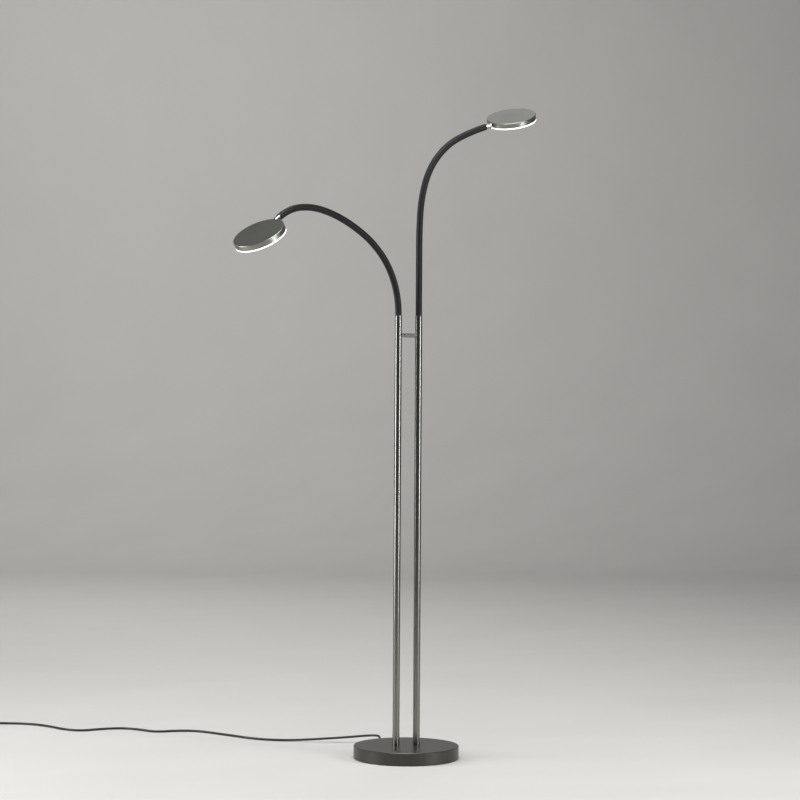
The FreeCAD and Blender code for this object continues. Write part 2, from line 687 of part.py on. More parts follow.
def arm_frames(side):
    """Placements at the arm's joints, from the tube's top to the head's stem."""
    length = size("section_length")
    height = size("tube_top") + size("collar_height") + ball_rise()
    point = Vector(SIDES[side] * size("pole_spacing") / 2, 0, height)
    angle = 0.0
    frames = [frame_at(point, size(side + "_azimuth"), angle)]
    for bend in BENDS[side]:
        here = frames[-1]
        turn = math.radians(bend)
        if bend:
            radius = length / turn
            step = Vector(radius * (1 - math.cos(turn)), 0, radius * math.sin(turn))
        else:
            step = Vector(0, 0, length)
        angle += bend
        frames.append(frame_at(here.multVec(step), size(side + "_azimuth"), angle))
    return frames


def arm_sockets():
    for side, sign in SIDES.items():
        axis = ("-" if sign < 0 else "") + "pole_spacing / 2"
        socket = body(side + "_socket")
        form(socket, "AdditiveCylinder", (axis, "0", "tube_top - socket_plug"),
             Radius="tube_bore / 2 - running_gap", Height="socket_plug + running_gap * 2")
        form(socket, "AdditiveCylinder", (axis, "0", "tube_top + running_gap"),
             Radius="sleeve_diameter / 2", Height="collar_height - running_gap")
        form(socket, "SubtractiveSphere", (axis, "0", "tube_top + collar_height + " + RISE),
             Radius="sleeve_diameter / 2 + seat_gap")
        form(socket, "SubtractiveCylinder", (axis, "0", "tube_top - socket_plug - 1"),
             Radius="sleeve_bore / 2", Height="socket_plug + collar_height + 2")


def arm_section(side, index, bend, place, last):
    """One flexible section: a ball below, a curved sleeve and the next ball's seat."""
    section = body(f"{side}_arm_{index + 1}")
    if bend:
        radius = f"section_length * 180 / (pi * {bend})"
        section.Placement = place * Placement(Vector(size("section_length") / math.radians(bend), 0, 0), Rotation())
        drawn = sketch(section, "XY_Plane", section.Name + "_ring")
        circle(drawn, "sleeve_diameter / 2", radius)
        doc.recompute()
        sweep = section.newObject("PartDesign::Revolution", section.Name + "_sweep")
        sweep.Profile = drawn
        sweep.ReferenceAxis = (drawn, ["V_Axis"])
        sweep.Angle = bend
        foot = ("-" + radius, "0", "0")
        tip = (f"-{radius} * cos({bend})", "0", f"{radius} * sin({bend})")
    else:
        section.Placement = place
        form(section, "AdditiveCylinder", Radius="sleeve_diameter / 2", Height="section_length")
        foot = ("0", "0", "0")
        tip = ("0", "0", "section_length")
    form(section, "AdditiveSphere", foot, Radius="sleeve_diameter / 2")
    if not last:
        form(section, "SubtractiveSphere", tip, Radius="sleeve_diameter / 2 + seat_gap")
    form(section, "SubtractiveCylinder", (foot[0], "0", "-sleeve_diameter"),
         Radius="sleeve_bore / 2", Height="sleeve_diameter")
    if bend:
        bore = sketch(section, "XY_Plane", section.Name + "_bore_ring")
        circle(bore, "sleeve_bore / 2", radius)
        doc.recompute()
        groove = section.newObject("PartDesign::Groove", section.Name + "_bore")
        groove.Profile = bore
        groove.ReferenceAxis = (bore, ["V_Axis"])
        groove.Angle = bend
    else:
        form(section, "SubtractiveCylinder", ("0", "0", "-1"), Radius="sleeve_bore / 2", Height="section_length + 2")


def arm_lead(side, frames):
    """The lead from the driver through stud, tube and arm into the head."""
    x = frames[0].Base.x
    low = size("lead_height")
    turn = size("lead_turn")
    slant = turn * (1 - math.sqrt(0.5))
    run_out = Vector(0, 0, size("stem_length") + size("stem_gap") + size("boss_end") + 2 * size("stem_nut_thickness"))
    start = Vector(x, size("driver_front"), low)
    edges = [
        Part.LineSegment(start, Vector(x, -turn, low)).toShape(),
        Part.Arc(Vector(x, -turn, low), Vector(x, -slant, low + slant), Vector(x, 0, low + turn)).toShape(),
        Part.LineSegment(Vector(x, 0, low + turn), frames[0].Base).toShape(),
    ]
    for bend, here, there in zip(BENDS[side], frames, frames[1:]):
        if bend:
            radius = size("section_length") / math.radians(bend)
            half = math.radians(bend) / 2
            middle = here.multVec(Vector(radius * (1 - math.cos(half)), 0, radius * math.sin(half)))
            edges.append(Part.Arc(here.Base, middle, there.Base).toShape())
        else:
            edges.append(Part.LineSegment(here.Base, there.Base).toShape())
    edges.append(Part.LineSegment(frames[-1].Base, frames[-1].multVec(run_out)).toShape())
    solid, length = tube_along(edges, size("lead_diameter"))
    wrapped(side + "_lead", solid)
    print(f"{side} lead {length:.0f} mm")


# ---------------------------------------------------------------- heads


def head_place(side, end):
    """The head's own frame: X away from the arm along the stem, Z out of its top."""
    ahead = end.Rotation.multVec(Vector(0, 0, 1))
    upright = end.Rotation.multVec(Vector(-1, 0, 0))
    upright = Rotation(ahead, size(side + "_roll")).multVec(upright)
    across = upright.cross(ahead)
    turned = Matrix(ahead.x, across.x, upright.x, 0, ahead.y, across.y, upright.y, 0,
                    ahead.z, across.z, upright.z, 0, 0, 0, 0, 1)
    place = Placement(turned)
    reach = size("stem_length") + size("stem_gap") + size("head_diameter") / 2
    place.Base = end.multVec(Vector(0, 0, reach))
    return place


HOUSING_FOOT = "(stem_drop - housing_height)"
BOARD_TOP = "(stem_drop - head_top)"
EDGE = "head_diameter / 2"


def head_housing(side, place):
    housing = body(side + "_head_housing", place)
    form(housing, "AdditiveCylinder", ("0", "0", HOUSING_FOOT), Radius=EDGE, Height="housing_height")
    chamfer(housing, "head_chamfer", size("head_diameter") / 2, size("stem_drop"))
    form(housing, "SubtractiveCylinder", ("0", "0", HOUSING_FOOT),
         Radius=EDGE + " - head_wall", Height="housing_height - head_top")
    form(housing, "AdditiveBox", (f"-({EDGE} - boss_inset)", "-boss_width / 2", HOUSING_FOOT + " + fit_gap"),
         Length="boss_end - boss_inset", Width="boss_width", Height="housing_height - head_top")
    form(housing, "SubtractiveCylinder", (f"-{EDGE} - 1", "0", "0"), TO_X,
         Radius="swivel_pin / 2 + running_gap", Height="boss_end + 2")
    for number in range(HEAD_SCREWS):
        x, y = on_circle("head_screw_circle", number, HEAD_SCREWS)
        form(housing, "SubtractiveCylinder", (x, y, BOARD_TOP + " - 1"),
             Radius="head_screw_thread / 2 + thread_gap", Height="head_screw_bite + 1")


def on_circle(diameter, number, count):
    """The x and y of one of several equal places round a circle."""
    angle = 360 / count * number
    return f"{diameter} / 2 * cos({angle})", f"{diameter} / 2 * sin({angle})"


def head_stem(side, place):
    stem = body(side + "_stem", place)
    face = f"-({EDGE} + stem_gap)"
    form(stem, "AdditiveCylinder", (face + " - stem_length", "0", "0"), TO_X,
         Radius="stem_diameter / 2", Height="stem_length")
    form(stem, "AdditiveCylinder", (face + " - stem_length - spigot_length", "0", "0"), TO_X,
         Radius="spigot_diameter / 2", Height="spigot_length + 1")
    form(stem, "AdditiveCylinder", (face + " - 1", "0", "0"), TO_X,
         Radius="swivel_pin / 2", Height="1 + stem_gap + boss_end + fit_gap + stem_nut_thickness + fit_gap")
    form(stem, "SubtractiveCylinder", (face + " - stem_length - spigot_length - 1", "0", "0"), TO_X,
         Radius="stem_bore / 2", Height="stem_length + 2 * spigot_length + 2 * boss_end")
    nut = body(side + "_stem_nut", place)
    form(nut, "AdditiveCylinder", (f"-{EDGE} + boss_end + fit_gap", "0", "0"), TO_X,
         Radius="stem_nut_diameter / 2", Height="stem_nut_thickness")
    form(nut, "SubtractiveCylinder", (f"-{EDGE} + boss_end", "0", "0"), TO_X,
         Radius="swivel_pin / 2 + thread_gap", Height="2 * stem_nut_thickness")


def head_light(side, place):
    board = body(side + "_led_board", place)
    low = BOARD_TOP + " - running_gap - board_thickness"
    form(board, "AdditiveCylinder", ("0", "0", low), Radius="led_board_diameter / 2", Height="board_thickness")
    for number in range(CHIPS):
        x, y = on_circle("chip_circle", number + 0.5, CHIPS)
        form(board, "AdditiveBox", (x + " - chip_side / 2", y + " - chip_side / 2", low + " - chip_height"),
             Length="chip_side", Width="chip_side", Height="chip_height * 2")
    screws = body(side + "_board_screws", place)
    for number in range(HEAD_SCREWS):
        x, y = on_circle("head_screw_circle", number, HEAD_SCREWS)
        form(board, "SubtractiveCylinder", (x, y, low + " - 1"),
             Radius="head_screw_thread / 2 + thread_gap", Height="board_thickness + 2")
        form(screws, "AdditiveCylinder", (x, y, low + " - head_screw_head_height"),
             Radius="head_screw_head / 2", Height="head_screw_head_height")
        form(screws, "AdditiveCylinder", (x, y, low + " - head_screw_head_height"),
             Radius="head_screw_thread / 2",
             Height="head_screw_head_height + board_thickness + running_gap + head_screw_bite")
    switch = body(side + "_switch", place)
    form(switch, "AdditiveCylinder", ("0", "0", low + " - switch_height"),
         Radius="switch_diameter / 2", Height="switch_height")
    form(switch, "SubtractiveCylinder", ("0", "0", low + " - switch_height"),
         Radius="plunger_diameter / 2 + button_gap", Height="switch_bore_depth")
    diffuser = body(side + "_diffuser", place)
    face = HOUSING_FOOT + " - running_gap"
    form(diffuser, "AdditiveCylinder", ("0", "0", face + " - diffuser_height"),
         Radius=EDGE, Height="diffuser_height")
    form(diffuser, "AdditiveCylinder", ("0", "0", face), Radius=EDGE + " - head_wall - fit_gap", Height="diffuser_step")
    form(diffuser, "SubtractiveCylinder", ("0", "0", face),
         Radius=EDGE + " - head_wall - fit_gap - diffuser_wall", Height="diffuser_step + 1")
    form(diffuser, "SubtractiveBox",
         (f"-{EDGE}", "-boss_width / 2 - button_gap", face),
         Length="boss_end + fit_gap", Width="boss_width + 2 * button_gap", Height="diffuser_step + 1")
    form(diffuser, "SubtractiveCylinder", ("0", "0", face + " - diffuser_height - 1"),
         Radius="button_diameter / 2 + button_gap", Height="diffuser_height + 2")
    button = body(side + "_button", place)
    form(button, "AdditiveCylinder", ("0", "0", face + " - diffuser_height - button_stand"),
         Radius="button_diameter / 2", Height="diffuser_height + button_stand + button_lip_height")
    form(button, "AdditiveCylinder", ("0", "0", face + " + running_gap"),
         Radius="button_diameter / 2 + button_lip", Height="button_lip_height")
    form(button, "AdditiveCylinder", ("0", "0", face),
         Radius="plunger_diameter / 2", Height=f"{low} - switch_height + plunger_entry - ({face})")


def main():
    base_cover()
    base_weight()
    bottom_plate()
    foot_ring()
    driver()
    terminals()
    cord_gland()
    plug_point, heading = cord_and_coil()
    coil_tie()
    plug(plug_point, heading)
    poles()
    pole_feet()
    arm_sockets()
    for side in SIDES:
        frames = arm_frames(side)
        for index, bend in enumerate(BENDS[side]):
            arm_section(side, index, bend, frames[index], index == len(BENDS[side]) - 1)
        arm_lead(side, frames)
        place = head_place(side, frames[-1])
        head_housing(side, place)
        head_stem(side, place)
        head_light(side, place)
        for number, frame in enumerate(frames, 1):
            axis = frame.Rotation.multVec(Vector(0, 1, 0))
            print(f"{side} joint {number}: {frame.Base} axis {axis}")
        print(f"{side} head: {place.Base} along {place.Rotation.multVec(Vector(1, 0, 0))}"
              f" up {place.Rotation.multVec(Vector(0, 0, 1))}")
    doc.recompute()
    faulty = [o.Name for o in doc.Objects if "Invalid" in o.State or "Error" in o.State]
    for name, piece in parts.items():
        if piece.Shape.isNull() or not piece.Shape.isValid() or not piece.Shape.Solids:
            faulty.append(name)
    if faulty:
        raise ValueError("faulty: " + ", ".join(faulty))
    os.makedirs("parts", exist_ok=True)
    for name, piece in parts.items():
        piece.Shape.exportStep(f"parts/{name}.step")
    print(len(parts), "pieces")


main()
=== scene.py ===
"""Floor lamp with two flexible reading arms: finishes, gooseneck sleeves, mains cord and studio.

Metres, +Z up, origin on the floor under the middle of the base, poles side by side along X.
"""
import json
import math

import bmesh
import bpy
from mathutils import Matrix, Vector


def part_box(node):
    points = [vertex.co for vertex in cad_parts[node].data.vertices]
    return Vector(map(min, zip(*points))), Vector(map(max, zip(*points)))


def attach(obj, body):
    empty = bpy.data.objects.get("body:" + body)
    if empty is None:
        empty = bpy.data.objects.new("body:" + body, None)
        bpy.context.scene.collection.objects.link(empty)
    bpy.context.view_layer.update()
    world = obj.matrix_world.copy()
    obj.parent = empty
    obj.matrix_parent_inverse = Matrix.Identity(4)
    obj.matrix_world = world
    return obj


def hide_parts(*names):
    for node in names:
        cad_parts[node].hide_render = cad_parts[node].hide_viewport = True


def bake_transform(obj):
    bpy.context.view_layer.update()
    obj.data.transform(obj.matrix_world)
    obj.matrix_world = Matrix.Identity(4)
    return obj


bl_info = {
    "name": "Two-arm Reading Lamp",
    "version": (1, 0, 0),
    "blender": (4, 5, 0),
    "location": "View3D > Sidebar > Lamp",
    "description": "Finishes, sleeves, cord and studio for a two-arm floor lamp",
    "category": "Object",
}

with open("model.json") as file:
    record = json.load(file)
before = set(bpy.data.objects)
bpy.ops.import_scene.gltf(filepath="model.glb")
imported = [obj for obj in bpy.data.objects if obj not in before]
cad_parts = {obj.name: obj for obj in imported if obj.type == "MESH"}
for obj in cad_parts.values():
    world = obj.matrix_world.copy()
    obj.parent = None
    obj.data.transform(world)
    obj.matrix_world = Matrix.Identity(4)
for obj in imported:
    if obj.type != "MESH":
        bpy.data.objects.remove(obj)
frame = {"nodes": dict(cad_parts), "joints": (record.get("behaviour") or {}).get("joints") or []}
NODES = frame["nodes"]
JOINTS = {joint["name"]: joint for joint in frame["joints"]}
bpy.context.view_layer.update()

SIDES = ("left", "right")

# An arm: its sections, the ribs on each, and what lies past the last section.
SECTIONS = 7
SECTION_LENGTH = 0.0745
ARM_LENGTH = SECTION_LENGTH * SECTIONS
RIBS_ON_SECTION = 37
ARM_END_TO_SWIVEL = 0.0165
LEAD_PAST_ARM = 0.0315

# Half turns of the stored coil that spiral in and out again; one more between them climbs a layer.
HALVES_IN = 6
HALVES_OUT = 5

# The cord's way over the floor, from the strain relief to the coil.
CORD_ROUTE = (
    (0, 0.1468, 0.013),
    (0, 0.168, 0.0135),
    (0.009, 0.187, 0.017),
    (0.015, 0.208, 0.0205),
    (0.009, 0.228, 0.0195),
    (-0.012, 0.246, 0.0165),
    (-0.046, 0.258, 0.0135),
    (-0.084, 0.274, 0.0105),
    (-0.124, 0.297, 0.0065),
    (-0.172, 0.322, 0.0034),
    (-0.218, 0.352, 0.003),
    (-0.25, 0.392, 0.003),
    (-0.273, 0.438, 0.003),
    (-0.299, 0.486, 0.003),
    (-0.331, 0.543, 0.003),
    (-0.38, 0.564, 0.003),
    (-0.433, 0.561, 0.003),
    (-0.456, 0.608, 0.003),
    (-0.489, 0.649, 0.003),
    (-0.541, 0.654, 0.003),
    (-0.599, 0.639, 0.003),
    (-0.633, 0.678, 0.003),
    (-0.651, 0.732, 0.003),
    (-0.681, 0.788, 0.003),
    (-0.729, 0.821, 0.003),
    (-0.786, 0.836, 0.0039),
    (-0.84, 0.859, 0.0039),
)


class LampSizes(bpy.types.PropertyGroup):
    """Sizes of the pieces that are made here."""

    sleeve_diameter: bpy.props.FloatProperty(
        name="Sleeve", description="Outer diameter of the flexible arms", default=0.015, unit="LENGTH")
    sleeve_bore: bpy.props.FloatProperty(
        name="Wire way", description="Bore of the flexible arms", default=0.007, unit="LENGTH")
    rib_pitch: bpy.props.FloatProperty(
        name="Rib pitch", description="One rib of the sleeve to the next",
        default=SECTION_LENGTH / RIBS_ON_SECTION, unit="LENGTH")
    rib_depth: bpy.props.FloatProperty(
        name="Rib depth", description="Groove between two ribs", default=0.0003, unit="LENGTH")
    lead_diameter: bpy.props.FloatProperty(
        name="Lamp lead", description="Lead through pole and arm", default=0.0034, unit="LENGTH")
    cord_diameter: bpy.props.FloatProperty(
        name="Cord", description="Round mains cord", default=0.0054, unit="LENGTH")
    cord_length: bpy.props.FloatProperty(
        name="Cord length", description="From the strain relief to the plug",
        default=2.448, unit="LENGTH")
    coil_radius: bpy.props.FloatProperty(
        name="Coil", description="Radius of the stored coil's outer half turn",
        default=0.040, unit="LENGTH")
    coil_pitch: bpy.props.FloatProperty(
        name="Coil pitch", description="One turn to the next, sideways and upwards",
        default=0.0059, unit="LENGTH")
    coil_tail: bpy.props.FloatProperty(
        name="Coil tail", description="Straight end from the coil to the plug",
        default=0.048, unit="LENGTH")
    relief_ribs: bpy.props.IntProperty(
        name="Relief ribs", description="Ribs of the strain relief", default=8, min=3, max=16)


class LampColours(bpy.types.PropertyGroup):
    """Colours of the finishes."""

    graphite: bpy.props.FloatVectorProperty(
        name="Graphite", description="Lacquered metal of the heads",
        subtype="COLOR", size=4, default=(0.25, 0.25, 0.225, 1))
    tube: bpy.props.FloatVectorProperty(
        name="Tubes", description="Satin metal of the poles and the bar",
        subtype="COLOR", size=4, default=(0.215, 0.212, 0.198, 1))
    base_top: bpy.props.FloatVectorProperty(
        name="Base", description="Lacquered metal of the base cover",
        subtype="COLOR", size=4, default=(0.072, 0.068, 0.062, 1))
    sleeve: bpy.props.FloatVectorProperty(
        name="Sleeve", description="Flexible arms",
        subtype="COLOR", size=4, default=(0.0085, 0.0082, 0.0092, 1))
    cable: bpy.props.FloatVectorProperty(
        name="Cord", description="Mains cord, its strain relief and the leads",
        subtype="COLOR", size=4, default=(0.006, 0.006, 0.0065, 1))
    bright: bpy.props.FloatVectorProperty(
        name="Bright metal", description="Stems of the heads",
        subtype="COLOR", size=4, default=(0.52, 0.515, 0.49, 1))
    light: bpy.props.FloatVectorProperty(
        name="Light", description="Colour of the lit rim",
        subtype="COLOR", size=4, default=(1.0, 0.965, 0.90, 1))
    floor: bpy.props.FloatVectorProperty(
        name="Floor", description="Pale floor and backdrop",
        subtype="COLOR", size=4, default=(0.56, 0.55, 0.53, 1))


# ------------------------------------------------------------ finishes

# The span in which most of a texture's values lie.
TEXTURE_SPAN = (0.3, 0.7)

# Colours of the inner and small pieces.
PLATED_STEEL = (0.52, 0.52, 0.50, 1)
PLATE_STEEL = (0.33, 0.33, 0.33, 1)
CAST_IRON = (0.10, 0.10, 0.10, 1)
FOOT_RUBBER = (0.02, 0.02, 0.02, 1)
BLACK_PLASTIC = (0.018, 0.018, 0.019, 1)
PALE_PLASTIC = (0.72, 0.72, 0.70, 1)
WHITE_BOARD = (0.82, 0.83, 0.80, 1)
GREEN_BOARD = (0.04, 0.20, 0.08, 1)
OPAL = (0.92, 0.91, 0.88, 1)


class Finish:
    """A material under way: its shader and short ways to add texture nodes."""

    def __init__(self, name, colour, roughness, metallic=0.0):
        self.material = bpy.data.materials.new(name)
        self.material.use_nodes = True
        self.material.diffuse_color = tuple(colour[:3]) + (1,)
        self.tree = self.material.node_tree
        self.shader = self.tree.nodes["Principled BSDF"]
        self.shader.inputs["Base Color"].default_value = tuple(colour[:3]) + (1,)
        self.shader.inputs["Roughness"].default_value = roughness
        self.shader.inputs["Metallic"].default_value = metallic
        self.colour = colour
        self.roughness = roughness
        self.height = None
        self.place = self.tree.nodes.new("ShaderNodeTexCoord").outputs["Object"]

    def node(self, kind, **values):
        made = self.tree.nodes.new(kind)
        for key, value in values.items():
            if key in made.inputs:
                made.inputs[key].default_value = value
            else:
                setattr(made, key, value)
        return made

    def link(self, source, target):
        self.tree.links.new(source, target)

    def stretched(self, scale):
        """The object's own coordinates, stretched along its axes."""
        mapping = self.node("ShaderNodeMapping", Scale=scale)
        self.link(self.place, mapping.inputs["Vector"])
        return mapping.outputs["Vector"]

    def noise(self, scale, detail, stretch=None):
        texture = self.node("ShaderNodeTexNoise", Scale=scale, Detail=detail)
        self.link(self.stretched(stretch) if stretch else self.place, texture.inputs["Vector"])
        return texture.outputs["Fac"]

    def remap(self, value, low, high):
        """A texture's value brought to run from low to high."""
        span = self.node("ShaderNodeMapRange")
        span.inputs["From Min"].default_value = TEXTURE_SPAN[0]
        span.inputs["From Max"].default_value = TEXTURE_SPAN[1]
        span.inputs["To Min"].default_value = low
        span.inputs["To Max"].default_value = high
        self.link(value, span.inputs["Value"])
        return span.outputs["Result"]

    def vary_colour(self, value, low, high):
        """The base colour runs from low to high times itself as a texture rises."""
        ramp = self.tree.nodes.new("ShaderNodeValToRGB")
        ends = ramp.color_ramp.elements
        ends[0].position = TEXTURE_SPAN[0]
        ends[1].position = TEXTURE_SPAN[1]
        ends[0].color = tuple(min(1, part * low) for part in self.colour[:3]) + (1,)
        ends[1].color = tuple(min(1, part * high) for part in self.colour[:3]) + (1,)
        self.link(value, ramp.inputs["Fac"])
        self.link(ramp.outputs["Color"], self.shader.inputs["Base Color"])

    def vary_roughness(self, value, amount):
        spread = self.remap(value, self.roughness - amount, self.roughness + amount)
        self.link(spread, self.shader.inputs["Roughness"])

    def bump(self, value, depth, strength):
        """One more layer of bump, its depth in metres."""
        layer = self.node("ShaderNodeBump", Strength=strength, Distance=depth)
        self.link(value, layer.inputs["Height"])
        if self.height:
            self.link(self.height, layer.inputs["Normal"])
        self.height = layer.outputs["Normal"]
        self.link(self.height, self.shader.inputs["Normal"])

    def clear_coat(self):
        """A thin, rather dull clear coat."""
        self.shader.inputs["Coat Weight"].default_value = 0.12
        self.shader.inputs["Coat Roughness"].default_value = 0.25


def lacquered(name, colour, roughness, stretch, metallic):
    """Graphite lacquer on brushed metal: fine strokes, a faint orange peel and soft clouds."""
    finish = Finish(name, colour, roughness, metallic)
    strokes = finish.noise(scale=500, detail=2, stretch=stretch)
    clouds = finish.noise(scale=14, detail=3)
    peel = finish.noise(scale=1500, detail=2)
    finish.vary_colour(clouds, low=0.93, high=1.08)
    finish.vary_roughness(strokes, amount=0.015)
    finish.bump(strokes, depth=0.000001, strength=0.1)
    finish.bump(peel, depth=0.000001, strength=0.1)
    finish.clear_coat()
    return finish.material


def spun(name, colour, roughness):
    """Graphite lacquer over turned metal, with rings round the piece's own Z axis."""
    finish = Finish(name, colour, roughness, metallic=0.88)
    rings = finish.node("ShaderNodeTexWave", wave_type="RINGS", rings_direction="Z")
    rings.inputs["Scale"].default_value = 260
    rings.inputs["Distortion"].default_value = 1.5
    rings.inputs["Detail"].default_value = 2
    finish.link(finish.place, rings.inputs["Vector"])
    clouds = finish.noise(scale=11, detail=3)
    peel = finish.noise(scale=1400, detail=2)
    finish.vary_colour(clouds, low=0.92, high=1.08)
    finish.vary_roughness(rings.outputs["Fac"], amount=0.03)
    finish.bump(rings.outputs["Fac"], depth=0.000006, strength=0.4)
    finish.bump(peel, depth=0.00001, strength=0.4)
    finish.clear_coat()
    return finish.material


def bright_metal(name, colour, roughness):
    """Polished or plated metal with hair lines and finger haze."""
    finish = Finish(name, colour, roughness, metallic=1.0)
    lines = finish.noise(scale=700, detail=3, stretch=(1, 1, 0.08))
    haze = finish.noise(scale=60, detail=3)
    finish.vary_colour(haze, low=0.95, high=1.04)
    finish.vary_roughness(haze, amount=0.05)
    finish.bump(lines, depth=0.000008, strength=0.4)
    return finish.material


def moulded(name, colour, roughness, grain_depth=0.00003, gloss=0.5):
    """Moulded plastic or rubber with a fine grain and a little dust."""
    finish = Finish(name, colour, roughness)
    grain = finish.noise(scale=2200, detail=3)
    clouds = finish.noise(scale=35, detail=4)
    finish.vary_colour(clouds, low=0.85, high=1.2)
    finish.vary_roughness(clouds, amount=0.06)
    finish.bump(grain, depth=grain_depth, strength=0.6)
    finish.shader.inputs["Specular IOR Level"].default_value = gloss
    return finish.material


def cast(name, colour):
    """Rough casting."""
    finish = Finish(name, colour, 0.7, metallic=0.5)
    pits = finish.noise(scale=240, detail=6)
    finish.vary_colour(pits, low=0.7, high=1.3)
    finish.vary_roughness(pits, amount=0.1)
    finish.bump(pits, depth=0.0004, strength=0.8)
    return finish.material


def lit_opal(name, colour, light):
    """Opal acrylic, lit from behind and a little brighter in places."""
    finish = Finish(name, colour, 0.35)
    clouds = finish.noise(scale=45, detail=2)
    finish.vary_colour(clouds, low=0.97, high=1.0)
    finish.vary_roughness(clouds, amount=0.04)
    finish.bump(finish.noise(scale=1800, detail=2), depth=0.00001, strength=0.3)
    finish.link(finish.remap(clouds, low=1.15, high=1.35), finish.shader.inputs["Emission Strength"])
    finish.shader.inputs["Emission Color"].default_value = tuple(light)
    finish.shader.inputs["Subsurface Weight"].default_value = 0.15
    finish.shader.inputs["Subsurface Radius"].default_value = (0.004, 0.004, 0.004)
    return finish.material


def circuit(name, colour):
    """Solder mask with faint tracks."""
    finish = Finish(name, colour, 0.35)
    tracks = finish.node("ShaderNodeTexBrick", Scale=90.0)
    finish.link(finish.place, tracks.inputs["Vector"])
    finish.vary_colour(tracks.outputs["Fac"], low=1.0, high=0.75)
    finish.bump(tracks.outputs["Fac"], depth=0.00003, strength=0.4)
    return finish.material


def coat(material, *names):
    """The material on the named CAD nodes."""
    for name in names:
        node = NODES[name]
        node.data.materials.clear()
        node.data.materials.append(material)


# ------------------------------------------------------------ meshes


def ring_of(point, across, beside, radius, sides):
    """The corners of a ring round a point."""
    corners = []
    for number in range(sides):
        angle = 2 * math.pi * number / sides
        corners.append(point + (across * math.cos(angle) + beside * math.sin(angle)) * radius)
    return corners


def skinned(rings, closed_ends=True):
    """Vertices and faces over a list of rings; the flat ends are closed if asked."""
    sides = len(rings[0])
    vertices = [corner for ring in rings for corner in ring]
    faces = []
    for row in range(len(rings) - 1):
        for number in range(sides):
            after = (number + 1) % sides
            faces.append((row * sides + number, row * sides + after,
                          (row + 1) * sides + after, (row + 1) * sides + number))
    if closed_ends:
        faces.append(tuple(reversed(range(sides))))
        faces.append(tuple(range(len(vertices) - sides, len(vertices))))
    return vertices, faces


def piece(name, shells, materials):
    """A named mesh from several shells, each with its own material number."""
    vertices = []
    faces = []
    numbers = []
    for shell, number in shells:
        start = len(vertices)
        vertices += shell[0]
        faces += [tuple(start + corner for corner in face) for face in shell[1]]
        numbers += [number] * len(shell[1])
    mesh = bpy.data.meshes.new(name)
    mesh.from_pydata([tuple(vertex) for vertex in vertices], [], faces)
    for material in materials:
        mesh.materials.append(material)
    mesh.polygons.foreach_set("material_index", numbers)
    mesh.polygons.foreach_set("use_smooth", [True] * len(faces))
    mesh.update()
    made = bpy.data.objects.new(name, mesh)
    bpy.context.scene.collection.objects.link(made)
    return made


def crease(made, degrees=50):
    """Edges that turn more than an angle stay sharp."""
    mesh = made.data
    limit = math.radians(degrees)
    around = {}
    for polygon in mesh.polygons:
        for key in polygon.edge_keys:
            around.setdefault(key, []).append(polygon.normal)
    for edge in mesh.edges:
        normals = around.get(tuple(sorted(edge.vertices)), [])
        edge.use_edge_sharp = len(normals) == 2 and normals[0].angle(normals[1], 0) > limit


# ------------------------------------------------------------ arms

# How finely the sleeves and leads are meshed, and the turn below which a section counts as straight.
SLEEVE_SIDES = 28
STEPS_ON_RIB = 4
BORE_STEPS = 12
LEAD_SIDES = 12
LEAD_STEP = 0.006
STRAIGHT_TURN = 0.002

# The lamp lead in the base: its height over the floor and its turn up into the pole.
BASE_LEAD_HEIGHT = 0.0065
BASE_LEAD_TURN = 0.006
TURN_STEPS = 8
POLE_STEPS = 20


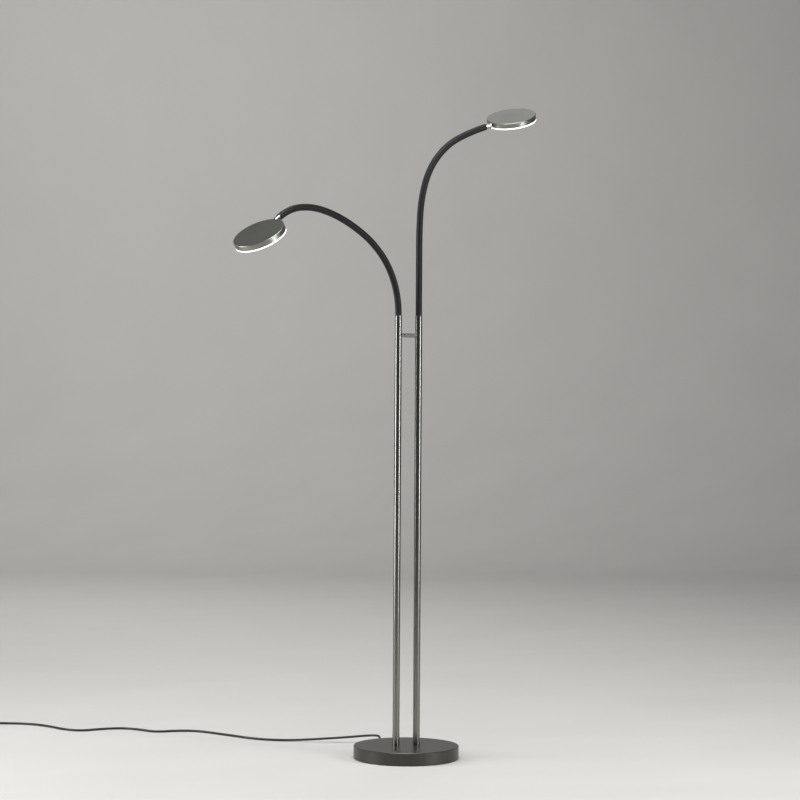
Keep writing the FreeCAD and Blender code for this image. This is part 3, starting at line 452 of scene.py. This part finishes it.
class Arm:
    """The middle line of one flexible arm, from its collar to the head's stem."""

    def __init__(self, side):
        self.beside = Vector(JOINTS[f"{side}_bend_1"]["axis"]).normalized()
        self.points = []
        for number in range(1, SECTIONS + 1):
            self.points.append(Vector(JOINTS[f"{side}_bend_{number}"]["pos_m"]))
        swivel = JOINTS[f"{side}_head_swivel"]
        last = Vector(swivel["axis"]).normalized()
        self.points.append(Vector(swivel["pos_m"]) - last * ARM_END_TO_SWIVEL)
        # Each section is an arc, so the heading at its end is the one at its start, mirrored at the chord.
        self.ahead = []
        heading = Vector((0, 0, 1))
        for here, there in zip(self.points, self.points[1:]):
            self.ahead.append(heading)
            chord = (there - here).normalized()
            heading = (chord * (2 * heading.dot(chord)) - heading).normalized()
        self.ahead.append(last)

    def station(self, along):
        """Point and heading at a distance along the arm."""
        if along < 0:
            return self.points[0] + self.ahead[0] * along, self.ahead[0]
        if along > ARM_LENGTH:
            return self.points[-1] + self.ahead[-1] * (along - ARM_LENGTH), self.ahead[-1]
        number = min(int(along / SECTION_LENGTH), SECTIONS - 1)
        here = self.points[number]
        heading = self.ahead[number]
        part = along / SECTION_LENGTH - number
        turn = heading.angle(self.ahead[number + 1], 0)
        if turn < STRAIGHT_TURN:
            return here + (self.points[number + 1] - here) * part, heading
        across = self.beside.cross(heading)
        radius = (self.points[number + 1] - here).length / (2 * math.sin(turn / 2))
        angle = turn * part
        point = here + across * (radius * (1 - math.cos(angle))) + heading * (radius * math.sin(angle))
        return point, heading * math.cos(angle) + across * math.sin(angle)

    def ring(self, along, radius, sides):
        point, heading = self.station(along)
        return ring_of(point, self.beside.cross(heading), self.beside, radius, sides)

    def sleeve(self, start, end, sizes):
        """A ribbed tube between two distances, closed at both ends round its bore."""
        outer = sizes.sleeve_diameter / 2
        steps = max(8, round((end - start) / (sizes.rib_pitch / STEPS_ON_RIB)))
        rings = []
        for step in range(steps + 1):
            along = start + (end - start) * step / steps
            wave = 0.5 - 0.5 * math.cos(2 * math.pi * along / sizes.rib_pitch)
            rings.append(self.ring(along, outer - sizes.rib_depth * wave, SLEEVE_SIDES))
        for step in range(BORE_STEPS + 1):
            along = end - (end - start) * step / BORE_STEPS
            rings.append(self.ring(along, sizes.sleeve_bore / 2, SLEEVE_SIDES))
        rings.append(rings[0])
        return skinned(rings, closed_ends=False)

    def lead(self, start, end, sizes):
        """The lamp lead between two distances."""
        steps = max(4, round((end - start) / LEAD_STEP))
        rings = []
        for step in range(steps + 1):
            along = start + (end - start) * step / steps
            rings.append(self.ring(along, sizes.lead_diameter / 2, LEAD_SIDES))
        return skinned(rings)


def welded(made):
    """Joins the corners that lie on each other."""
    shape = bmesh.new()
    shape.from_mesh(made.data)
    bmesh.ops.remove_doubles(shape, verts=shape.verts, dist=1e-7)
    bmesh.ops.recalc_face_normals(shape, faces=shape.faces)
    shape.to_mesh(made.data)
    shape.free()


class LAMP_OT_goosenecks(bpy.types.Operator):
    """Ribbed sleeves that bend from one arm section to the next, with the lamp leads inside"""

    bl_idname = "lamp.goosenecks"
    bl_label = "Goosenecks"

    def execute(self, context):
        sizes = context.scene.lamp_sizes
        colours = context.scene.lamp_colours
        sleeve = moulded("black_sleeve", colours.sleeve, 0.42, grain_depth=0.00004, gloss=0.22)
        wire = moulded("lead_cover", colours.cable, 0.5)
        for side in SIDES:
            arm = Arm(side)
            below = arm.points[0].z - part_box(f"{side}_socket")[1].z
            for number in range(1, SECTIONS + 1):
                start = (number - 1.5) * SECTION_LENGTH if number > 1 else -below
                end = (number - 0.5) * SECTION_LENGTH if number < SECTIONS else ARM_LENGTH
                tip = end if number < SECTIONS else ARM_LENGTH + LEAD_PAST_ARM
                skin = piece(f"{side}_sleeve_{number}",
                             [(arm.sleeve(start, end, sizes), 0), (arm.lead(start, tip, sizes), 1)],
                             [sleeve, wire])
                welded(skin)
                crease(skin)
                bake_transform(skin)
                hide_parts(f"{side}_arm_{number}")
            self.inner_lead(side, arm, wire, sizes)
        return {"FINISHED"}

    def inner_lead(self, side, arm, wire, sizes):
        """The lead's lower part: from the driver, round into the stud and up the pole."""
        x = arm.points[0].x
        low = BASE_LEAD_HEIGHT
        turn = BASE_LEAD_TURN
        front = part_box("driver_case")[1].y
        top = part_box(f"{side}_socket")[1].z
        stations = [(Vector((x, front, low)), Vector((0, 1, 0)))]
        for step in range(TURN_STEPS + 1):
            angle = math.pi / 2 * step / TURN_STEPS
            point = Vector((x, -turn + turn * math.sin(angle), low + turn - turn * math.cos(angle)))
            stations.append((point, Vector((0, math.cos(angle), math.sin(angle)))))
        for step in range(1, POLE_STEPS + 1):
            height = low + turn + (top - low - turn) * step / POLE_STEPS
            stations.append((Vector((x, 0, height)), Vector((0, 0, 1))))
        rings = []
        for point, heading in stations:
            across = Vector((1, 0, 0))
            rings.append(ring_of(point, across, heading.cross(across), sizes.lead_diameter / 2, LEAD_SIDES))
        made = piece(f"{side}_pole_lead", [(skinned(rings), 0)], [wire])
        crease(made)
        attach(made, "base")
        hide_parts(f"{side}_lead")


# ------------------------------------------------------------ cord

# Corners of the cord's spline on each half turn of the coil.
COIL_CORNERS = 8

# The strain relief: its flanges, taper and grooves, and its fit on the cord.
FLANGE_THICK = 0.0015
FLANGE_PROUD = 0.0015
FLANGE_GAP = 0.0003
RELIEF_TIP = 0.0036
SOFT_EDGE = 0.0004
GROOVE_DEPTH = 0.0006
CORD_FIT = 0.00005
RELIEF_SIDES = 40

# One rib of the relief: places along it, each with its share of the groove's depth.
RIB_OUTLINE = ((0.08, 1.0), (0.18, 0.35), (0.30, 0.0), (0.70, 0.0), (0.82, 0.35), (0.92, 1.0))


class LAMP_OT_cord(bpy.types.Operator):
    """Mains cord on one smooth line: over the floor, then wound into a coil, then to the plug"""

    bl_idname = "lamp.cord"
    bl_label = "Mains Cord"

    def execute(self, context):
        sizes = context.scene.lamp_sizes
        colours = context.scene.lamp_colours
        route = [Vector(point) for point in CORD_ROUTE]
        route += self.coil(route[-2], route[-1], sizes)
        line = bpy.data.curves.new("mains_cord", "CURVE")
        line.dimensions = "3D"
        line.bevel_depth = sizes.cord_diameter / 2
        line.bevel_resolution = 4
        line.resolution_u = 6
        line.use_fill_caps = True
        spline = line.splines.new("NURBS")
        spline.points.add(len(route) - 1)
        for place, point in zip(spline.points, route):
            place.co = (point.x, point.y, point.z, 1)
        spline.order_u = 3
        spline.use_endpoint_u = True
        line.materials.append(moulded("black_cord", colours.cable, 0.42, grain_depth=0.00002))
        made = bpy.data.objects.new("mains_flex", line)
        context.scene.collection.objects.link(made)
        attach(made, "base")
        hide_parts("mains_cord", "mains_coil")
        return {"FINISHED"}

    def coil(self, before, start, sizes):
        """Turns that spiral in on the floor, climb a layer and spiral out again."""
        heading = Vector((start.x - before.x, start.y - before.y, 0)).normalized()
        inward = Vector((-heading.y, heading.x, 0))
        # The spline runs inside its corners, so they stand out by as much as it cuts off.
        grow = 1 / (0.75 + 0.25 * math.cos(math.pi / COIL_CORNERS))
        points = []
        place = start + heading * sizes.cord_diameter
        points.append(start + heading * (sizes.cord_diameter * 0.5))
        for half in range(HALVES_IN + 1 + HALVES_OUT):
            inset = half if half <= HALVES_IN else 2 * HALVES_IN - half
            radius = sizes.coil_radius - inset * sizes.coil_pitch / 2
            side = inward if half % 2 == 0 else -inward
            away = heading if half % 2 == 0 else -heading
            rise = sizes.coil_pitch if half == HALVES_IN else 0
            middle = place + side * radius
            for corner in range(COIL_CORNERS):
                angle = math.pi * ((corner + 0.5) / COIL_CORNERS)
                climb = rise * (0.5 - 0.5 * math.cos(angle))
                points.append(middle - side * (radius * grow * math.cos(angle))
                              + away * (radius * grow * math.sin(angle)) + Vector((0, 0, climb)))
            place = place + side * (2 * radius) + Vector((0, 0, rise))
        for part in (0.3, 0.7, 1.0):
            points.append(place + heading * (sizes.coil_tail * part))
        return points


class LAMP_OT_relief(bpy.types.Operator):
    """Ribbed rubber strain relief where the cord leaves the base"""

    bl_idname = "lamp.relief"
    bl_label = "Strain Relief"

    def execute(self, context):
        sizes = context.scene.lamp_sizes
        low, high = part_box("cord_gland")
        colours = context.scene.lamp_colours
        rubber = moulded("relief_rubber", colours.cable, 0.6, grain_depth=0.00003, gloss=0.35)
        height = (low.z + high.z) / 2
        flange = (high.z - low.z) / 2
        neck = flange - FLANGE_PROUD
        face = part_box("base_cover")[1].y + FLANGE_GAP
        outline = []
        for start in (low.y, face):
            end = start + FLANGE_THICK
            outline += [(start, neck), (start, flange - SOFT_EDGE), (start + SOFT_EDGE, flange),
                        (end - SOFT_EDGE, flange), (end, flange - SOFT_EDGE), (end, neck)]
        taper = face + FLANGE_THICK
        length = high.y - taper
        for rib in range(sizes.relief_ribs):
            for part, depth in RIB_OUTLINE:
                along = (rib + part) / sizes.relief_ribs
                radius = neck + (RELIEF_TIP - neck) * along
                outline.append((taper + length * along, radius - GROOVE_DEPTH * depth))
        outline.append((high.y, RELIEF_TIP - SOFT_EDGE))
        bore = sizes.cord_diameter / 2 + CORD_FIT
        outline += [(high.y, bore), (low.y, bore)]
        across = Vector((1, 0, 0))
        upright = Vector((0, 0, 1))
        rings = []
        for y, radius in outline + outline[:1]:
            rings.append(ring_of(Vector((0, y, height)), across, upright, radius, RELIEF_SIDES))
        made = piece("gland_relief", [(skinned(rings, closed_ends=False), 0)], [rubber])
        welded(made)
        crease(made, 60)
        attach(made, "base")
        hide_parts("cord_gland")
        return {"FINISHED"}


# ------------------------------------------------------------ pieces that keep their CAD shape


def both(*names):
    """The names of the left and the right one of each piece."""
    return [f"{side}_{name}" for side in SIDES for name in names]


class LAMP_OT_finishes(bpy.types.Operator):
    """Finishes of the poles, base, heads and inner pieces"""

    bl_idname = "lamp.finishes"
    bl_label = "Finishes"

    def execute(self, context):
        colours = context.scene.lamp_colours
        tube = lacquered("graphite_tube", colours.tube, 0.23, stretch=(1, 1, 0.02), metallic=1.0)
        bar = lacquered("graphite_bar", colours.tube, 0.24, stretch=(0.02, 1, 1), metallic=1.0)
        coat(tube, *both("tube"))
        coat(bar, "crossbar")
        coat(spun("graphite_cover", colours.base_top, 0.36), "base_cover")
        head = lacquered("graphite_head", colours.graphite, 0.34, stretch=(1, 1, 1), metallic=0.95)
        coat(head, *both("head_housing"))
        coat(bright_metal("polished_stem", colours.bright, 0.16), *both("stem"))
        steel = bright_metal("plated_steel", PLATED_STEEL, 0.34)
        coat(steel, "plate_screws", "tube_studs", "tube_washers", "tube_nuts", "crossbar_dowels",
             "plug_pins", *both("stem_nut", "board_screws"))
        coat(bright_metal("plate_steel", PLATE_STEEL, 0.45), "bottom_plate")
        coat(cast("cast_weight", CAST_IRON), "base_weight")
        coat(moulded("foot_rubber", FOOT_RUBBER, 0.8, grain_depth=0.00008), "foot_ring")
        black = moulded("black_plastic", BLACK_PLASTIC, 0.5)
        coat(black, "coil_tie", "plug_body", *both("socket", "button", "switch"))
        pale = moulded("pale_plastic", PALE_PLASTIC, 0.45)
        coat(pale, "driver_case", "driver_lid", "terminal_block", "cord_clamp")
        coat(moulded("lead_black", colours.cable, 0.5), "inner_leads")
        coat(circuit("white_board", WHITE_BOARD), *both("led_board"))
        coat(circuit("green_board", GREEN_BOARD), "driver_board")
        coat(lit_opal("lit_opal", OPAL, colours.light), *both("diffuser"))
        return {"FINISHED"}


# ------------------------------------------------------------ studio

# The turn of the camera and the backdrop round the lamp.
VIEW_TURN = math.radians(22)

# The backdrop: a flat floor, a quarter round and a wall.
FLOOR_FRONT = -7.0
FLOOR_BACK = 5.2
ROUND_RADIUS = 1.8
ROUND_STEPS = 16
WALL_TOP = 8.0
HALF_WIDTH = 9.0

AIR_COLOUR = (0.80, 0.82, 0.85, 1)
AIR_STRENGTH = 0.10

# Each soft lamp's name, place, aim, width, height and watts.
SOFT_LAMPS = (
    ("strip_left", (-2.51, 0.47, 1.42), (0, 0, 1.2), 0.9, 2.5, 62),
    ("strip_right", (1.60, -2.05, 1.42), (0, 0, 1.2), 0.5, 2.5, 50),
    ("soft_above", (-0.6, -1.0, 4.0), (0, 0, 0), 2.6, 2.6, 150),
    ("soft_behind", (1.03, 2.15, 3.45), (0.27, 0.03, 1.47), 1.8, 1.4, 5),
    ("wall_glow", (-1.2, 3.2, 3.6), (2.2, 6.2, 1.6), 2.4, 1.2, 110),
)

# The camera, fitted to the photograph: its focal length is in the photograph's pixels.
PHOTO_WIDTH = 800
FOCAL_PIXELS = 2296
SENSOR_WIDTH = 36
CAMERA_AWAY = 5.235
CAMERA_HEIGHT = 0.835
CAMERA_YAW = math.radians(-0.203)
CAMERA_PITCH = math.radians(-0.200)
CAMERA_ROLL = math.radians(0.338)


class LAMP_OT_studio(bpy.types.Operator):
    """Pale floor that runs up into a backdrop, soft lamps and the camera"""

    bl_idname = "lamp.studio"
    bl_label = "Studio"

    def execute(self, context):
        self.backdrop(context)
        self.world(context)
        self.lamps(context)
        self.camera(context)
        context.scene.view_settings.view_transform = "Standard"
        return {"FINISHED"}

    def backdrop(self, context):
        """A floor whose far end curves up into a wall, square to the camera."""
        finish = Finish("pale_floor", context.scene.lamp_colours.floor, 0.75)
        clouds = finish.noise(scale=2.2, detail=6, stretch=(1, 2.5, 1))
        finish.vary_colour(clouds, low=0.98, high=1.02)
        finish.vary_roughness(clouds, amount=0.05)
        finish.bump(finish.noise(scale=60, detail=5), depth=0.0006, strength=0.3)
        turned = Matrix.Rotation(-VIEW_TURN, 3, "Z")
        profile = [(FLOOR_FRONT, 0.0), (FLOOR_BACK, 0.0)]
        for step in range(1, ROUND_STEPS + 1):
            angle = math.pi / 2 * step / ROUND_STEPS
            away = FLOOR_BACK + ROUND_RADIUS * math.sin(angle)
            profile.append((away, ROUND_RADIUS - ROUND_RADIUS * math.cos(angle)))
        profile.append((FLOOR_BACK + ROUND_RADIUS, WALL_TOP))
        vertices = []
        for away, height in profile:
            for across in (-HALF_WIDTH, HALF_WIDTH):
                vertices.append(turned @ Vector((across, away, height)))
        faces = [(2 * row, 2 * row + 1, 2 * row + 3, 2 * row + 2) for row in range(len(profile) - 1)]
        floor = piece("studio_floor", [((vertices, faces), 0)], [finish.material])

    def world(self, context):
        """A dim, even light from all round."""
        world = bpy.data.worlds.new("studio_air")
        context.scene.world = world
        world.use_nodes = True
        background = world.node_tree.nodes["Background"]
        background.inputs["Color"].default_value = AIR_COLOUR
        background.inputs["Strength"].default_value = AIR_STRENGTH

    def lamps(self, context):
        """Two tall strips beside the lamp, soft ones above and behind it, and one that lights the wall."""
        for name, place, aim, wide, tall, watts in SOFT_LAMPS:
            light = bpy.data.lights.new(name, "AREA")
            light.shape = "RECTANGLE"
            light.size = wide
            light.size_y = tall
            light.energy = watts
            lamp = bpy.data.objects.new(name, light)
            lamp.location = place
            lamp.rotation_euler = (Vector(aim) - Vector(place)).to_track_quat("-Z", "Y").to_euler()
            context.scene.collection.objects.link(lamp)

    def camera(self, context):
        """Long lens at table height, a little left of the poles' own front."""
        data = bpy.data.cameras.new("photo_camera")
        data.sensor_width = SENSOR_WIDTH
        data.lens = FOCAL_PIXELS / PHOTO_WIDTH * SENSOR_WIDTH
        data.clip_end = 60
        level_part = math.cos(CAMERA_PITCH)
        ahead = Vector((math.sin(CAMERA_YAW) * level_part, math.cos(CAMERA_YAW) * level_part,
                        math.sin(CAMERA_PITCH)))
        level = Vector((math.cos(CAMERA_YAW), -math.sin(CAMERA_YAW), 0))
        upright = level.cross(ahead)
        right = level * math.cos(CAMERA_ROLL) + upright * math.sin(CAMERA_ROLL)
        above = upright * math.cos(CAMERA_ROLL) - level * math.sin(CAMERA_ROLL)
        round_lamp = Matrix.Rotation(-VIEW_TURN, 3, "Z")
        turned = Matrix((round_lamp @ right, round_lamp @ above, round_lamp @ -ahead)).transposed()
        place = round_lamp @ Vector((0, -CAMERA_AWAY, CAMERA_HEIGHT))
        camera = bpy.data.objects.new("photo_camera", data)
        camera.matrix_world = Matrix.Translation(place) @ turned.to_4x4()
        context.scene.collection.objects.link(camera)
        context.scene.camera = camera


class LAMP_PT_panel(bpy.types.Panel):
    """The lamp's steps in the order in which they are made"""

    bl_label = "Reading Lamp"
    bl_idname = "LAMP_PT_panel"
    bl_space_type = "VIEW_3D"
    bl_region_type = "UI"
    bl_category = "Lamp"

    def draw(self, context):
        for group in (context.scene.lamp_sizes, context.scene.lamp_colours):
            box = self.layout.box()
            for name in group.bl_rna.properties.keys():
                if name not in ("rna_type", "name"):
                    box.prop(group, name)
        for operator in OPERATORS:
            self.layout.operator(operator.bl_idname)


OPERATORS = (LAMP_OT_studio, LAMP_OT_finishes, LAMP_OT_goosenecks, LAMP_OT_cord, LAMP_OT_relief)
CLASSES = (LampSizes, LampColours) + OPERATORS + (LAMP_PT_panel,)


def register():
    for kind in CLASSES:
        bpy.utils.register_class(kind)
    bpy.types.Scene.lamp_sizes = bpy.props.PointerProperty(type=LampSizes)
    bpy.types.Scene.lamp_colours = bpy.props.PointerProperty(type=LampColours)


def unregister():
    del bpy.types.Scene.lamp_colours
    del bpy.types.Scene.lamp_sizes
    for kind in reversed(CLASSES):
        bpy.utils.unregister_class(kind)


def main():
    register()
    bpy.ops.lamp.studio()
    bpy.ops.lamp.finishes()
    bpy.ops.lamp.goosenecks()
    bpy.ops.lamp.cord()
    bpy.ops.lamp.relief()


if __name__ == "__main__":
    main()
